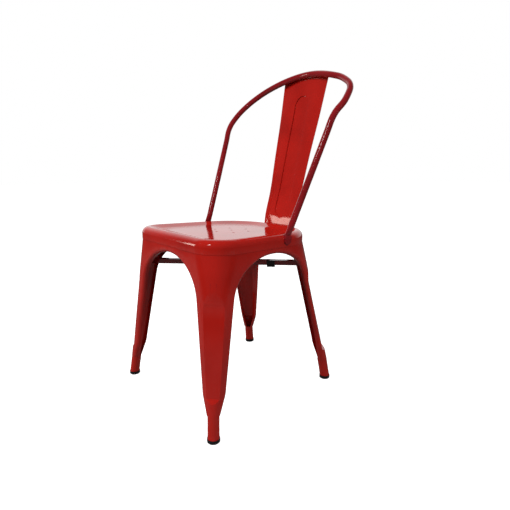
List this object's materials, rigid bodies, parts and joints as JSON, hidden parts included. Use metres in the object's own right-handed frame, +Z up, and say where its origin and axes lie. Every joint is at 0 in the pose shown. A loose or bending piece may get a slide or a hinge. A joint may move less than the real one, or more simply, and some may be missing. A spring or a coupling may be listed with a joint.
{
  "type": "metal bistro chair",
  "caption": "Stacking chair of pressed sheet steel with a dished seat, four tapering legs, a tube hoop back and a flat splat.",
  "frame": {"origin": "on the floor, below the middle of the chair's outline", "axes": "+Z up, front of the seat towards -Y, the sitter's left towards +X"},
  "size_m": [0.4462, 0.4986, 0.8515],
  "materials": {
    "red_powder_coat": "high gloss powder coat on pressed steel",
    "black_rubber": "matt moulded rubber"
  },
  "bodies": {
    "root": {"seat_pan": "red_powder_coat", "front_left_leg": "red_powder_coat", "front_right_leg": "red_powder_coat", "rear_left_leg": "red_powder_coat", "rear_right_leg": "red_powder_coat", "back_hoop": "red_powder_coat", "back_splat": "red_powder_coat", "brace_long_bar": "red_powder_coat", "brace_half_bar_front": "red_powder_coat", "brace_half_bar_rear": "red_powder_coat", "front_left_foot": "black_rubber", "front_right_foot": "black_rubber", "rear_left_foot": "black_rubber", "rear_right_foot": "black_rubber", "front_left_brace_pad": "black_rubber", "front_right_brace_pad": "black_rubber", "rear_left_brace_pad": "black_rubber", "rear_right_brace_pad": "black_rubber"}
  },
  "joints": []
}
